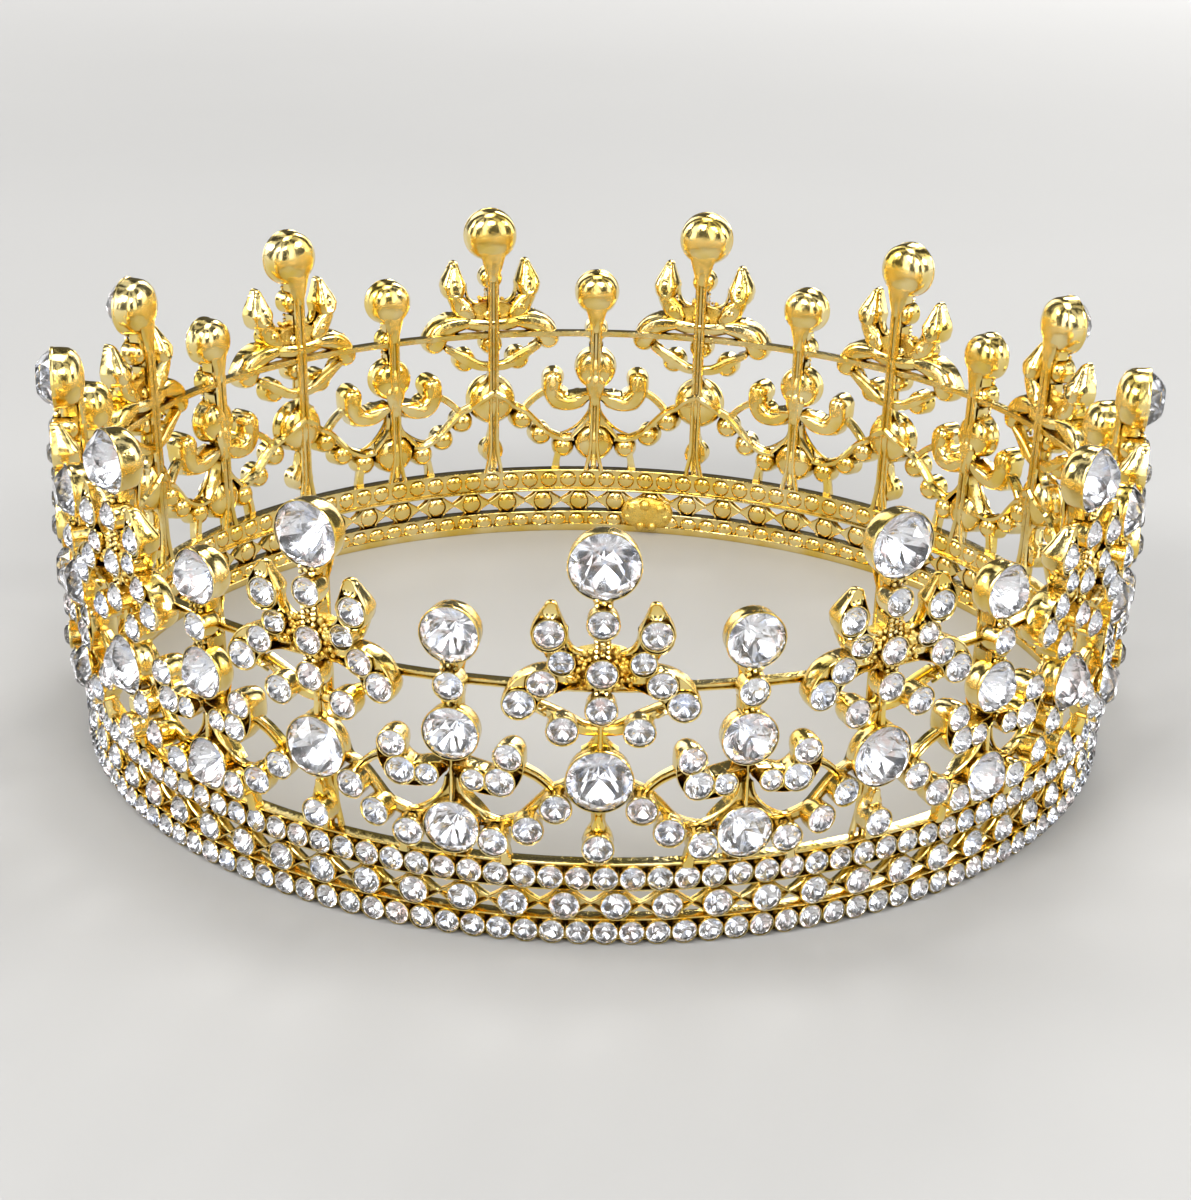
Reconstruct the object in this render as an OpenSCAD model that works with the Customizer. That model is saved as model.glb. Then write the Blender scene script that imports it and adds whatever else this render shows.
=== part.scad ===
// A full round crown of gold-plated cast metal set with clear round rhinestones.
// Tall and short motifs alternate on a band of three stone rows.
// The origin is on the crown's axis, in the plane of its base; the front is on -Y.

/* [Crown] */
// Number of tall motifs, with a short one between each two
motif_count = 13; // [12:1:14]
// Inner radius of the band
band_inner_r = 69.5; // [66:0.5:74]
// How far the motifs lean outwards, in degrees
lean = 2.5; // [0:0.5:6]

/* [Band] */
// Height of the band
band_h = 10.9; // [10.7:0.1:12]
// Thickness of the band's inner strip
strip_t = 1.0; // [0.6:0.1:1.2]
// How far a row of set stones stands out from the strip
row_depth = 1.9; // [1.5:0.1:2.4]
// Height of a lip that edges a row of stones
lip_h = 0.3; // [0.2:0.05:0.4]
// Height of the bottom and top rows of stones
fine_row_h = 3; // [2.8:0.05:3.1]

/* [Metalwork] */
// Thickness of the flat bars and plates of a motif
plate_t = 1.6; // [1.2:0.1:2]
// Width of the upright stems
stem_w = 1.7; // [1.4:0.1:2.2]
// Width of the thin bars and rails
bar_w = 1.1; // [0.8:0.1:1.4]
// Thickness of a cup's rim round its stone
rim = 0.28; // [0.2:0.02:0.34]
// How far the rim stands in front of the stone's girdle
rim_lift = 0.15; // [0.05:0.05:0.3]
// Height of the strip that rings the crown at the arms
wire_h = 0.9; // [0.7:0.1:1.2]
// Height of that strip above the base
wire_z = 34.2; // [33.5:0.1:34.8]

/* [Stones] */
// Radius of the stone on top of a tall motif
top_r = 4.05; // [3.8:0.05:4.2]
// Radius of the stone at the middle of a tall motif
junction_r = 3.85; // [3.6:0.05:3.95]
// Radius of the stone on top of a short motif
short_top_r = 3.4; // [3.2:0.05:3.5]
// Radius of the upper and the lower large stone of a short motif
short_mid_r = 3.25; // [3:0.05:3.3]
// Radius of the plain small stones
small_r = 1.75; // [1.6:0.05:1.75]
// Radius of the finest stones in the motifs
fine_r = 1.45; // [1.3:0.05:1.5]
// Height of a stone's crown as a share of its radius
crown_share = 0.46; // [0.4:0.02:0.5]
// Depth of a large stone's back as a share of its radius
back_share = 0.4; // [0.3:0.05:0.45]
// Gap between a stone and its cup
seat_gap = 0.12; // [0.1:0.01:0.15]

/* [Hidden] */

gold = [0.86, 0.66, 0.22];
crystal = [0.88, 0.91, 0.95];

// Depths outwards from the plane of a motif's back
girdle_d = 3.7;
small_cup_d = 1.0;
plane_r = band_inner_r - 0.3;
pitch = 360 / motif_count;

// Heights in the band: a lip lies above each row, and the middle row fills what is left
row_gap = 0.1;
lip_depth = 0.8;
lower_row_z = 0.15;
lower_lip_z = lower_row_z + fine_row_h + row_gap;
middle_row_z = lower_lip_z + lip_h + row_gap;
top_lip_z = band_h - lip_h;
upper_row_z = top_lip_z - row_gap - fine_row_h;
upper_lip_z = upper_row_z - row_gap - lip_h;
middle_row_h = upper_lip_z - row_gap - middle_row_z;
// Height at which a motif's feet start, in the band's top lip
foot_z = band_h - 0.2;

// Columns of the stone tables: across, up, radius of the stone
ACROSS = 0;
UP = 1;
RADIUS = 2;

// Large stones on the centre line of each motif
TALL_TOP = [0, 50.6, top_r];
JUNCTION = [0, 22.9, junction_r];
SHORT_TOP = [0, 40.8, short_top_r];
SHORT_UPPER = [0, 28.0, short_mid_r];
SHORT_LOWER = [0, 15.5, short_mid_r];

// Small stones of the tall motif on its centre line, from the neck to the drop
TALL_CENTRE = [
    [0, 43.5, small_r],
    [0, 37.2, small_r],
    [0, 32.5, small_r],
    [0, 14.1, small_r]
];
// Small stones on the right half of the tall motif; the left half mirrors them
LEAF = [6.2, 42.2, small_r];
LEAF_FOOT = [4.75, 38.6, fine_r];
ARM_MID = [7.0, 35.9, small_r - 0.1];
ARM_END = [9.6, 33.2, small_r + 0.05];
CRESCENT = [4.5, 29.8, small_r];
SWAG_1 = [5.1, 19.4, small_r];
SWAG_2 = [8.4, 16.5, small_r];
TALL_SIDE = [LEAF, LEAF_FOOT, ARM_MID, ARM_END, CRESCENT];
TALL_SWAG = [SWAG_1, SWAG_2];

// Small stones of the short motif, the neck and then its right half
SHORT_NECK = [0, 34.4, small_r];
CURL_UP = [7.1, 26.0, small_r - 0.1];
CURL_OUT = [6.1, 22.6, small_r];
CURL_IN = [2.85, 22.5, fine_r - 0.1];
SWAG_3 = [5.25, 14.4, small_r];
SHORT_SIDE = [CURL_UP, CURL_OUT, CURL_IN, SWAG_3];

function both(rows) = concat(rows, [for (s = rows) [-s[ACROSS], s[UP], s[RADIUS]]]);
function angle_of(motif) = motif * pitch;

// Puts a motif's own plane on the wall: X across, Y up, Z outwards
module on_wall(angle) {
    rotate([0, 0, angle])
        translate([0, -plane_r, 0])
            rotate([90 + lean, 0, 0])
                children();
}

module at(stone) {
    translate([stone[ACROSS], stone[UP]])
        children();
}

// A bar from p to q whose half width goes from a to b, with round ends
module taper(p, q, a, b) {
    run = norm(q - p);
    turn = atan2(q[1] - p[1], q[0] - p[0]);
    swing = acos((a - b) / run);
    inset = 0.98;
    translate(p)
        rotate(turn) {
            circle(a);
            translate([run, 0])
                circle(b);
            polygon([
                inset * a * [cos(swing), sin(swing)],
                [run, 0] + inset * b * [cos(swing), sin(swing)],
                [run, 0] + inset * b * [cos(swing), -sin(swing)],
                inset * a * [cos(swing), -sin(swing)]
            ]);
        }
}

// A curved bar of width w that runs from angle a to angle b on a circle
module arc_bar(centre, r, a, b, w) {
    steps = 4;
    turns = [for (i = [0:steps]) a + (b - a) * i / steps];
    polygon(concat(
        [for (t = turns) centre + (r + w / 2) * [cos(t), sin(t)]],
        [for (i = [steps:-1:0]) centre + (r - w / 2) * [cos(turns[i]), sin(turns[i])]]
    ));
}

module mirrored() {
    children();
    mirror([1, 0])
        children();
}

// An upright stem with a flared foot, from the band up to a height
module stem(top) {
    flare_w = 3;
    flare_h = 2.8;
    translate([-stem_w / 2, foot_z])
        square([stem_w, top - foot_z]);
    polygon([
        [-flare_w / 2, foot_z], [flare_w / 2, foot_z],
        [0.5, foot_z + flare_h], [-0.5, foot_z + flare_h]
    ]);
}

// Flat outline of the tall motif's stem, leaves, arms, crescent and swag rails
module tall_outline() {
    stem(TALL_TOP[UP]);
    taper([TALL_CENTRE[3][ACROSS], TALL_CENTRE[3][UP]], [0, 17.4], small_r + 0.2, 0.8);
    for (s = TALL_CENTRE)
        at(s)
            circle(s[RADIUS] + 0.1);
    translate([0, 40.3])
        circle(1.2);
    // Web between the centre stone, the leaves and the arms
    polygon([
        [-7.2, 36.9], [-5, 39.4], [0, 39.9], [5, 39.4], [7.2, 36.9],
        [6, 34.7], [3, 34.5], [0, 35.2], [-3, 34.5], [-6, 34.7]
    ]);
    mirrored() {
        taper([LEAF[0], LEAF[1]], [LEAF_FOOT[0], LEAF_FOOT[1]], 1.5, 1.4);
        arc_bar([0, 41.0], 12.3, -90 - 1, -90 + 46, bar_w);
        arc_bar([13.6, 27.3], 11.6, -90 - 60, -90 - 22, bar_w + 0.3);
        taper([5.6, 20.3], [9.9, 23.6], 0.6, 0.6);
    }
}

// Flat outline of the short motif's stem, curls and swag rails
module short_outline() {
    stem(SHORT_TOP[UP]);
    taper([0, 36.2], [0, 38.4], 1.2, 1.7);
    mirrored() {
        taper([CURL_IN[0], CURL_IN[1]], [CURL_OUT[0], CURL_OUT[1]], 1.4, 1.6);
        taper([0.4, 23.6], [CURL_IN[0], CURL_IN[1] + 0.6], 0.8, 0.6);
        taper([7.4, 23.5], [9.6, 22.9], 0.6, 0.6);
        arc_bar([4.2, 27.3], 11.7, -90 - 20, -90 + 26, bar_w + 0.3);
        taper([SWAG_3[0] + 0.9, 14.0], [SWAG_3[0] + 1.4, foot_z + 0.75], 0.7, 0.75);
    }
}

// Raised bodies of the tall motif: its two leaves and its two arms
module tall_raised() {
    mirrored() {
        taper([LEAF[0], LEAF[1]], [5.9, 46.2], 2.25, 0.65);
        taper([4.9, 36.4], [ARM_MID[0], ARM_MID[1]], 1.3, 1.9);
        taper([ARM_MID[0], ARM_MID[1]], [ARM_END[0], ARM_END[1]], 1.95, 2.2);
    }
}

// Raised bodies of the short motif: its two curls
module short_raised() {
    mirrored() {
        taper([CURL_OUT[0], CURL_OUT[1]], [CURL_UP[0], CURL_UP[1]], 1.95, 1.9);
        taper([CURL_IN[0], CURL_IN[1]], [CURL_OUT[0], CURL_OUT[1]], 1.5, 1.7);
    }
}

// Round cups for small stones, which lie on their flat fronts, with raised bodies between
module small_cups(stones) {
    translate([0, 0, small_cup_d])
        linear_extrude(girdle_d - seat_gap - small_cup_d) {
            for (s = stones)
                at(s)
                    circle(s[RADIUS] + rim);
            children();
        }
}

// Round seats for a list of large stones, cut into their cups
module pockets(stones) {
    for (s = stones)
        at(s)
            translate([0, 0, girdle_d - s[RADIUS] * back_share - 0.2])
                cylinder(r = s[RADIUS] + seat_gap, h = 5);
}

// The deep cup behind a large stone, with its rounded back
module deep_cup(stone) {
    r = stone[RADIUS] + rim;
    depth = r + 0.1;
    at(stone)
        translate([0, 0, girdle_d + rim_lift])
            rotate_extrude()
                polygon([
                    [0, -depth], [0.5 * r, -0.96 * depth], [0.85 * r, -0.8 * depth],
                    [r, -0.55 * depth], [r, 0], [0, 0]
                ]);
}

module tall_motif() {
    stones = concat(TALL_CENTRE, both(TALL_SIDE), both(TALL_SWAG));
    difference() {
        union() {
            linear_extrude(plate_t)
                tall_outline();
            small_cups(stones)
                tall_raised();
            deep_cup(TALL_TOP);
            deep_cup(JUNCTION);
        }
        pockets([TALL_TOP, JUNCTION]);
    }
}

module short_motif() {
    stones = concat([SHORT_NECK], both(SHORT_SIDE));
    difference() {
        union() {
            linear_extrude(plate_t)
                short_outline();
            small_cups(stones)
                short_raised();
            deep_cup(SHORT_TOP);
            deep_cup(SHORT_UPPER);
            deep_cup(SHORT_LOWER);
        }
        pockets([SHORT_TOP, SHORT_UPPER, SHORT_LOWER]);
    }
}

// Inner strip of the band, with a lip at each edge of the stone rows
module band_ring() {
    r = band_inner_r + strip_t;
    lip_r = r + lip_depth;
    lips = [for (z = [lower_lip_z, upper_lip_z, top_lip_z])
        each [[r, z], [lip_r, z], [lip_r, z + lip_h], [r, z + lip_h]]];
    rotate_extrude()
        polygon(concat([[band_inner_r, band_h], [band_inner_r, 0], [r, 0]], lips));
}

// Thin flat strip that rings the crown behind the arms
module wire_ring() {
    r = plane_r + wire_z * sin(lean) + 0.15;
    rotate_extrude()
        translate([r, wire_z - wire_h / 2])
            square([plate_t - 0.2, wire_h]);
}

// Solder plate over the joint inside the back of the band, a little to the right
module joint_plate() {
    off_centre = 7.6;
    w = 9.4;
    h = 6;
    proud = 0.9;
    half_run = (w - h) / 2;
    rotate([0, 0, -off_centre])
        translate([0, band_inner_r - proud, 0.5 + h / 2])
            rotate([-90, 0, 0])
                linear_extrude(proud + strip_t / 2)
                    taper([-half_run, 0], [half_run, 0], h / 2, h / 2);
}

module frame() {
    color(gold) {
        band_ring();
        wire_ring();
        joint_plate();
        for (i = [0:motif_count - 1]) {
            on_wall(angle_of(i))
                tall_motif();
            on_wall(angle_of(i + 0.5))
                short_motif();
        }
    }
}

// A row of set stones on the band, as one plain ring with a sloping face
module stone_row(z, h) {
    r = band_inner_r + strip_t + row_gap;
    slope = 0.7;
    color(crystal)
        rotate_extrude()
            polygon([
                [r, z], [r + row_depth - slope, z], [r + row_depth, z + slope],
                [r + row_depth, z + h - slope], [r + row_depth - slope, z + h], [r, z + h]
            ]);
}

module band_stones_lower() {
    stone_row(lower_row_z, fine_row_h);
}

module band_stones_middle() {
    stone_row(middle_row_z, middle_row_h);
}

module band_stones_upper() {
    stone_row(upper_row_z, fine_row_h);
}

// A large stone: table, 8 star facets, 8 kites, 16 girdle facets, 16 behind
module large_cut(r) {
    h = r * crown_share;
    table_r = 0.56 * r;
    star_r = 0.76 * r;
    star_h = h * (r - star_r * cos(22.5)) / (r - table_r);
    function ring(n, at_r, z, turn) = [for (i = [0:n - 1])
        [at_r * cos(turn + i * 360 / n), at_r * sin(turn + i * 360 / n), z]];
    points = concat(
        ring(8, table_r, h, 0),
        ring(8, star_r, star_h, 22.5),
        ring(16, r, 0, 0),
        [[0, 0, -r * back_share]]
    );
    star = 8;
    girdle = 16;
    culet = 32;
    faces = concat(
        [[7, 6, 5, 4, 3, 2, 1, 0]],
        [for (i = [0:7]) [i, (i + 1) % 8, star + i]],
        [for (i = [0:7]) [i, star + i, girdle + 2 * i, star + (i + 7) % 8]],
        [for (i = [0:7]) [star + i, girdle + 2 * i + 1, girdle + 2 * i]],
        [for (i = [0:7]) [star + i, girdle + (2 * i + 2) % 16, girdle + 2 * i + 1]],
        [for (i = [0:15]) [girdle + i, girdle + (i + 1) % 16, culet]]
    );
    polyhedron(points, faces);
}

// A small stone with a flat back: table, 8 crown facets and a low girdle
module small_cut(r) {
    h = r * crown_share;
    girdle_h = 0.08 * r;
    function ring(at_r, z) = [for (i = [0:7])
        [at_r * cos(22.5 + i * 45), at_r * sin(22.5 + i * 45), z]];
    points = concat(ring(0.56 * r, h), ring(r, girdle_h), ring(r, 0));
    faces = concat(
        [[7, 6, 5, 4, 3, 2, 1, 0]],
        [for (i = [0:7]) [i, (i + 1) % 8, 8 + (i + 1) % 8, 8 + i]],
        [for (i = [0:7]) [8 + i, 8 + (i + 1) % 8, 16 + (i + 1) % 8, 16 + i]],
        [[16, 17, 18, 19, 20, 21, 22, 23]]
    );
    polyhedron(points, faces);
}

module large_stone(stone, angle) {
    color(crystal)
        on_wall(angle)
            at(stone)
                translate([0, 0, girdle_d])
                    large_cut(stone[RADIUS]);
}

module tall_motif_stones() {
    color(crystal)
        for (i = [0:motif_count - 1])
            on_wall(angle_of(i))
                for (s = concat(TALL_CENTRE, both(TALL_SIDE)))
                    at(s)
                        translate([0, 0, girdle_d])
                            small_cut(s[RADIUS]);
}

module short_upper_stones() {
    for (i = [0:motif_count - 1])
        large_stone(SHORT_UPPER, angle_of(i + 0.5));
}

module short_lower_stones() {
    for (i = [0:motif_count - 1])
        large_stone(SHORT_LOWER, angle_of(i + 0.5));
}

frame();
band_stones_lower();
band_stones_middle();
band_stones_upper();
tall_motif_stones();
short_upper_stones();
short_lower_stones();
for (i = [0:motif_count - 1]) {
    large_stone(TALL_TOP, angle_of(i));
    large_stone(JUNCTION, angle_of(i));
    large_stone(SHORT_TOP, angle_of(i + 0.5));
}
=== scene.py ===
"""Looks of a full-round crown of gold-plated cast metal set with foiled glass rhinestones.

Shapes are worked out in millimetres and turned to metres when a piece is finished. A motif
is drawn in its own plane, X across, Y up and Z outwards, and then stood on the wall.
"""

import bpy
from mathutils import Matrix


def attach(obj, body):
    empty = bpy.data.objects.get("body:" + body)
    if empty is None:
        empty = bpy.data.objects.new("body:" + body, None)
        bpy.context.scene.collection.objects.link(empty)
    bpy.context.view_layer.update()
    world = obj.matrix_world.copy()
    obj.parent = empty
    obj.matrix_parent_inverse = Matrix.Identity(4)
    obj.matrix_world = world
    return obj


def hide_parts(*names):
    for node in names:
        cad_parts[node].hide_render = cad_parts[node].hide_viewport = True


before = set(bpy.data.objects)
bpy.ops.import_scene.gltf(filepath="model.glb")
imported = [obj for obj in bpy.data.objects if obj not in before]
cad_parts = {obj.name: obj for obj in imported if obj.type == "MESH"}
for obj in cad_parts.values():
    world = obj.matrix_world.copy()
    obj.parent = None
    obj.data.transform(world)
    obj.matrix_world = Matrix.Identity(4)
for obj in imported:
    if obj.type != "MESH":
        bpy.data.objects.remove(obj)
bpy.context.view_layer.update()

import logging
import math
import random
from dataclasses import dataclass, field, replace
from enum import Enum
from typing import Iterable, Optional, Sequence

import bmesh
import bpy
from mathutils import Matrix, Vector

log = logging.getLogger("crown")

# Metres in a millimetre
MM = 0.001
# The number of tall motifs, and of the short ones between them
MOTIFS = 13
PITCH = math.tau / MOTIFS
# How far the motifs lean outwards
LEAN = math.radians(2.5)
# Radius of the motifs' planes where they meet the floor
PLANE_R = 69.2
# Radius of the band's inside
BAND_R = 69.5
# Height at which the motifs' stems stand on the band
FOOT_Y = 10.65
# Depth of a small stone's girdle in its motif's plane
GIRDLE_D = 3.7
# Distance under which two corners of a turned body are one
MERGE = 0.0005

Point = tuple[float, float]
Stone = tuple[float, float, float]
Station = tuple[float, float, float, float, float]


class Section(Enum):
    """Cross-section of a bar."""

    ROUND = "round"
    FLAT = "flat"


def srgb(code: str) -> tuple[float, float, float, float]:
    """Turns an sRGB hex colour into linear values.

    Args:
        code: The colour as #RRGGBB.

    Returns:
        Red, green, blue and an alpha of 1.
    """
    parts = [int(code[i:i + 2], 16) / 255 for i in (1, 3, 5)]
    linear = [c / 12.92 if c <= 0.04045 else ((c + 0.055) / 1.055) ** 2.4 for c in parts]
    return (*linear, 1.0)


def smooth_run(stations: Sequence[Sequence[float]], steps: int) -> list[tuple[float, ...]]:
    """Draws a smooth curve through stations of any number of values.

    Args:
        stations: The values that the curve passes through.
        steps: The number of pieces between two stations.

    Returns:
        The stations and the values between them.
    """
    last = len(stations) - 1
    run: list[tuple[float, ...]] = []
    for i in range(last):
        four = [stations[j] for j in (max(i - 1, 0), i, i + 1, min(i + 2, last))]
        for k in range(steps):
            t = k / steps
            run.append(tuple(
                0.5 * (2 * b + (c - a) * t + (2 * a - 5 * b + 4 * c - d) * t ** 2
                       + (3 * b - a - 3 * c + d) * t ** 3)
                for a, b, c, d in zip(*four)))
    run.append(tuple(stations[last]))
    return run


def ribbon(spine: Sequence[Stone], steps: int, cap: int) -> list[Point]:
    """Draws the outline of a band of changing width with round ends.

    Args:
        spine: Places on the centre line, as across, up and half width.
        steps: The number of pieces between two places.
        cap: The number of pieces in a round end.

    Returns:
        The outline's points, counter-clockwise.
    """
    run = smooth_run(spine, steps)
    left: list[Point] = []
    right: list[Point] = []
    for i, (x, y, w) in enumerate(run):
        ahead, behind = run[min(i + 1, len(run) - 1)], run[max(i - 1, 0)]
        along = Vector((ahead[0] - behind[0], ahead[1] - behind[1])).normalized()
        left.append((x - along.y * w, y + along.x * w))
        right.append((x + along.y * w, y - along.x * w))
    ends: list[list[Point]] = []
    for (x, y, w), start in ((run[-1], right[-1]), (run[0], left[0])):
        first = math.atan2(start[1] - y, start[0] - x)
        ends.append([(x + w * math.cos(first + math.pi * k / cap),
                      y + w * math.sin(first + math.pi * k / cap)) for k in range(1, cap)])
    return right + ends[0] + left[::-1] + ends[1]


def block(half: float, low: float, high: float) -> list[Point]:
    """The outline of an upright block about the middle of a motif."""
    return [(-half, low), (half, low), (half, high), (-half, high)]


def flare(foot: Sequence[Point], edge: Sequence[Point]) -> list[Point]:
    """The outline from a foot up a smooth right edge and down its mirror image."""
    right = smooth_run(edge, 3)
    return [*foot, *right, *((-x, y) for x, y in right[::-1])]


def shell(front: float) -> list[Point]:
    """Gives the levels of a boat-shaped shell: a rounded back, a rim and a trough.

    Args:
        front: Depth of the rim.

    Returns:
        Depth and share of the width of each ring, from the back to the trough's floor.
    """
    floor = (2.0, 0.87)
    rings = ((3.6, 0.4), (3.4, 0.62), (2.9, 0.81), (2.1, 0.93), (1.2, 0.98), (0.25, 1.0),
             (0.06, 0.985), (0.0, 0.945), (0.08, 0.905), (0.4, 0.885))
    return [(front - behind, share) for behind, share in rings] + [floor]


def on_wall(angle: float) -> Matrix:
    """The matrix that stands a motif's plane on the wall at an angle from the front."""
    return (Matrix.Rotation(angle, 4, "Z") @ Matrix.Translation((0, -PLANE_R, 0))
            @ Matrix.Rotation(math.pi / 2 + LEAN, 4, "X"))


def numbered(kind: str) -> tuple[str, ...]:
    """The names of a kind's nodes, one for each motif."""
    return tuple(f"{kind}_{i + 1}" for i in range(MOTIFS))


def both_sides(rows: Sequence[Stone]) -> tuple[Stone, ...]:
    """The stones of a motif's right half with their mirror images."""
    return tuple(rows) + tuple((-x, y, r) for x, y, r in rows)


def sway(rng: random.Random, most: float) -> Matrix:
    """Gives a stone its own turn in its cup, which no setter gets the same twice.

    Args:
        rng: The source of small differences.
        most: The most that the stone tips over, in degrees.

    Returns:
        The turn as a matrix.
    """
    tip = math.radians(most)
    return (Matrix.Rotation(rng.uniform(-tip, tip), 4, "X")
            @ Matrix.Rotation(rng.uniform(-tip, tip), 4, "Y")
            @ Matrix.Rotation(rng.uniform(0, math.tau), 4, "Z"))


class Form:
    """A mesh in the making, in millimetres."""

    def __init__(self) -> None:
        """Starts with nothing in it."""
        self.bm = bmesh.new()

    def turned(self, profile: Sequence[Point], steps: int, closed: bool = False) -> "Form":
        """Adds a body turned about Z.

        Args:
            profile: Radius and height of each corner.
            steps: The number of sides round the axis.
            closed: True for a ring, whose profile closes on itself.

        Returns:
            This form.
        """
        verts = [self.bm.verts.new((r, 0, z)) for r, z in profile]
        pairs = list(zip(verts, verts[1:]))
        if closed:
            pairs.append((verts[-1], verts[0]))
        edges = [self.bm.edges.new(pair) for pair in pairs]
        bmesh.ops.spin(self.bm, geom=verts + edges, cent=(0, 0, 0), axis=(0, 0, 1),
                       dvec=(0, 0, 0), angle=math.tau, steps=steps, use_merge=True,
                       use_normal_flip=False, use_duplicate=False)
        bmesh.ops.remove_doubles(self.bm, verts=self.bm.verts, dist=MERGE)
        bmesh.ops.recalc_face_normals(self.bm, faces=self.bm.faces)
        return self

    def plate(self, outline: Sequence[Point], back: float, front: float, soft: float) -> None:
        """Adds a plate with softened edges.

        Args:
            outline: The plate's outline, counter-clockwise.
            back: Depth of the back face.
            front: Depth of the front face.
            soft: How far the edges are rounded.
        """
        verts = [self.bm.verts.new((x, y, back + soft)) for x, y in outline]
        floor = self.bm.faces.new(verts)
        floor.normal_update()
        if floor.normal.z > 0:
            floor.normal_flip()
        top = self.raised(floor, True)
        bmesh.ops.translate(self.bm, vec=(0, 0, front - back - 2 * soft), verts=top.verts)
        top.normal_update()
        if top.normal.z < 0:
            top.normal_flip()
        for face in (floor, top):
            # Two insets round each edge, a steep one and then a shallow one
            for run, rise in ((0.3, 0.7), (0.7, 0.3)):
                bmesh.ops.inset_region(self.bm, faces=[face], thickness=soft * run,
                                       depth=soft * rise, use_even_offset=False)

    def raised(self, face: bmesh.types.BMFace, first: bool) -> bmesh.types.BMFace:
        """Extrudes a face in place.

        Args:
            face: The face.
            first: True if the face stands alone, and so stays as the body's other end.

        Returns:
            The new face, with its verts still where the old ones are.
        """
        grown = bmesh.ops.extrude_face_region(self.bm, geom=[face])["geom"]
        if not first:
            bmesh.ops.delete(self.bm, geom=[face], context="FACES_ONLY")
        return next(e for e in grown if isinstance(e, bmesh.types.BMFace))

    def hull(self, spine: Sequence[Stone], levels: Sequence[Point], steps: int = 4,
             cap: int = 8) -> None:
        """Adds a body drawn along a spine, whose width changes from its back to its front.

        Args:
            spine: Places on the centre line, as across, up and half width.
            levels: Depth and share of the width of each ring, from the back to the front
                and on down into a trough if the body has one.
            steps: The number of pieces between two places.
            cap: The number of pieces in a round end.
        """
        order = self.bm.verts.layers.int.new("order")
        rings = [[(x, y, z) for x, y in ribbon([(x, y, w * share) for x, y, w in spine],
                                               steps, cap)] for z, share in levels]
        verts = [self.bm.verts.new(spot) for spot in rings[0]]
        for i, vert in enumerate(verts):
            vert[order] = i
        top = self.bm.faces.new(verts)
        top.normal_update()
        if top.normal.z > 0:
            top.normal_flip()
        for count, ring in enumerate(rings[1:]):
            top = self.raised(top, count == 0)
            for vert in top.verts:
                vert.co = ring[vert[order]]
            top.normal_update()
            if count == 0 and top.normal.z < 0:
                top.normal_flip()
        self.bm.verts.layers.int.remove(order)

    def bar(self, stations: Sequence[Station], steps: int,
            section: Section = Section.ROUND, radial: bool = False) -> None:
        """Adds a bar that follows a smooth path.

        Args:
            stations: Places as X, Y, Z, half the width across and half the depth.
            steps: The number of pieces between two places.
            section: The shape of the bar's cross-section.
            radial: True if depth points away from the Z axis, False if it is along Z.
        """
        run = smooth_run(stations, steps)
        poses: list[Matrix] = []
        for i, (x, y, z, wide, deep) in enumerate(run):
            ahead, behind = run[min(i + 1, len(run) - 1)], run[max(i - 1, 0)]
            along = (Vector(ahead[:3]) - Vector(behind[:3])).normalized()
            outward = Vector((x, y, 0)).normalized() if radial else Vector((0, 0, 1))
            side = along.cross(outward).normalized()
            depth = side.cross(along).normalized()
            pose = Matrix.Translation((x, y, z)).to_4x4()
            for row in range(3):
                pose[row][0] = side[row] * wide
                pose[row][1] = depth[row] * deep
                pose[row][2] = along[row]
            poses.append(pose)
        ring = bmesh.ops.create_circle(self.bm, cap_ends=True, segments=8, radius=1.0,
                                       matrix=Matrix.Rotation(math.pi / 8, 4, "Z"))["verts"]
        if section is Section.FLAT:
            # The octagon's corners are drawn out to a rectangle with its corners cut off
            for vert in ring:
                vert.co.x = math.copysign(1.0 if abs(vert.co.x) > 0.5 else 0.7, vert.co.x)
                vert.co.y = math.copysign(1.0 if abs(vert.co.y) > 0.5 else 0.7, vert.co.y)
        cap = ring[0].link_faces[0]
        bmesh.ops.transform(self.bm, matrix=poses[0], verts=ring)
        for count, (before, after) in enumerate(zip(poses, poses[1:])):
            cap = self.raised(cap, count == 0)
            bmesh.ops.transform(self.bm, matrix=after @ before.inverted(), verts=cap.verts)

    def thinned(self, low: float, high: float, share: float, front: float) -> None:
        """Draws the back of the form towards its front, more and more with height.

        Args:
            low: The height at which this starts.
            high: The height at which it ends.
            share: How much of the depth is left there.
            front: Depth of the front, which stays.
        """
        for vert in self.bm.verts:
            t = min(max((vert.co.y - low) / (high - low), 0.0), 1.0)
            vert.co.z = front + (vert.co.z - front) * (1 - t * (1 - share))

    def nugget(self, place: tuple[float, float, float], size: float, squash: float) -> None:
        """Adds a small rounded lump.

        Args:
            place: Its centre.
            size: Its radius.
            squash: Its depth as a share of its radius.
        """
        matrix = Matrix.Translation(place) @ Matrix.Diagonal((1, 1, squash, 1))
        bmesh.ops.create_icosphere(self.bm, subdivisions=1, radius=size, matrix=matrix)

    def mirrored(self) -> None:
        """Adds the mirror image of all that the form holds, to the left."""
        geom = self.bm.verts[:] + self.bm.edges[:] + self.bm.faces[:]
        twin = bmesh.ops.duplicate(self.bm, geom=geom)["geom"]
        bmesh.ops.transform(self.bm, matrix=Matrix.Scale(-1, 4, (1, 0, 0)),
                            verts=[e for e in twin if isinstance(e, bmesh.types.BMVert)])
        bmesh.ops.reverse_faces(self.bm, faces=[
            e for e in twin if isinstance(e, bmesh.types.BMFace)])

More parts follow.
